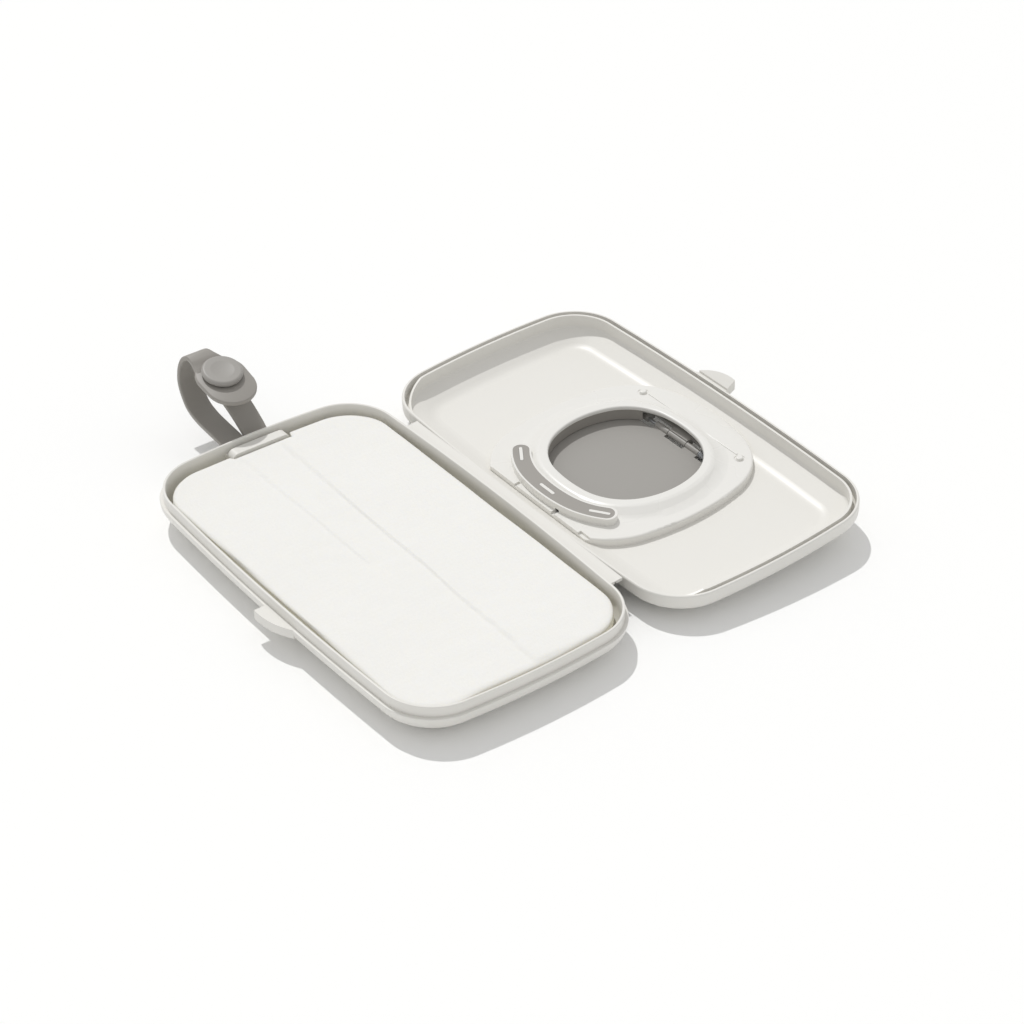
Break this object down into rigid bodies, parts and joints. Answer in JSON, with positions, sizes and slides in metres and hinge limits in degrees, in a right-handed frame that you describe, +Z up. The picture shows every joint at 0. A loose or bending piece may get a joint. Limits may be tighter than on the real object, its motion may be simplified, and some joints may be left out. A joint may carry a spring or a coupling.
{
  "type": "travel wipes case",
  "caption": "Open hard-shell travel case for baby wipes: shallow tray with folded wipes, hinged lid with a flip lid and release button, and a silicone strap with a press stud.",
  "frame": {"origin": "centre of the flat underside of the tray, on the table", "axes": "+X along the case, away from the strap; +Y from the tray to the open lid; +Z up"},
  "size_m": [0.2454, 0.2521, 0.0406],
  "materials": {
    "shell": "white polypropylene, fine satin moulding",
    "fitting": "white ABS, smooth satin",
    "gasket": "white silicone",
    "silicone": "warm gray silicone, matte",
    "flip": "warm gray ABS, matte",
    "stud": "warm gray plastic press stud, matte",
    "steel": "stainless steel wire",
    "wipes": "damp white nonwoven"
  },
  "bodies": {
    "case": {"base_tray": "shell", "hinge_web": "shell", "strap_anchor_cap": "shell", "strap_band": "silicone", "snap_socket": "stud", "wipes_stack": "wipes", "wipe_top": "wipes"},
    "lid": {"lid_shell": "shell", "rim_gasket": "gasket", "inner_plate": "fitting", "plate_rivets": "fitting", "button_membrane": "silicone", "window_seal": "silicone", "hinge_block": "flip", "flip_pin": "steel", "flip_spring": "steel"},
    "flip_lid": {"flip_lid": "flip"},
    "button": {"release_button": "fitting"},
    "tab": {"strap_tab": "silicone", "snap_cap": "stud", "snap_stud": "stud"}
  },
  "joints": [
    {"name": "lid_hinge", "type": "hinge", "parent": "case", "child": "lid", "pos_m": [0, 0.062, 0.0132], "axis": [1, 0, 0], "range_deg": [0, 177.16], "deforming": ["hinge_web"]},
    {"name": "flip_lid_hinge", "type": "hinge", "parent": "lid", "child": "flip_lid", "pos_m": [0, 0.15498, 0.0058], "axis": [1, 0, 0], "range_deg": [0, 110]},
    {"name": "button_press", "type": "slide", "parent": "lid", "child": "button", "axis": [0, -0.0495, 0.9988], "range_m": [0, 0.0012], "stiffness_N_per_m": 400},
    {"name": "tab_lift", "type": "hinge", "parent": "case", "child": "tab", "pos_m": [-0.13427, 0, 0.03838], "axis": [0, -1, 0], "range_deg": [0, 60]}
  ]
}
